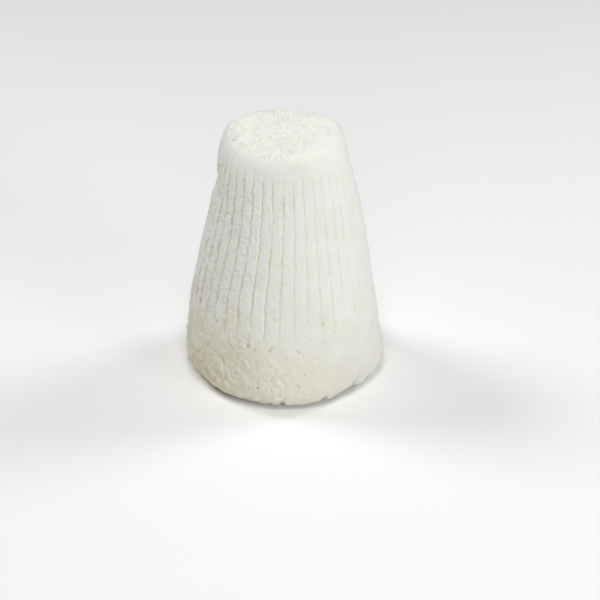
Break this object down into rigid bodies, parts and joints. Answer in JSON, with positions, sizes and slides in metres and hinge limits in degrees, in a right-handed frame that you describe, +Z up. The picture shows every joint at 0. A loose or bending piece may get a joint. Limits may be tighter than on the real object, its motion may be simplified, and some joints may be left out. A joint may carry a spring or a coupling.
{
  "type": "moulded ricotta cheese",
  "caption": "Tall tapered round of fresh white cheese, grooved round its side by a draining basket, with short strokes printed on its narrow top. Stands on its flat foot.",
  "frame": {"origin": "middle of the flat underside", "axes": "+Z up along the cheese, from its wide foot to its narrow top; the front, which the picture shows, is -Y"},
  "size_m": [0.1002, 0.1001, 0.128],
  "materials": {
    "fresh_ricotta": "soft matt white curd, faintly cream in its grooves and pits"
  },
  "bodies": {
    "root": {"ricotta": "fresh_ricotta"}
  },
  "joints": []
}
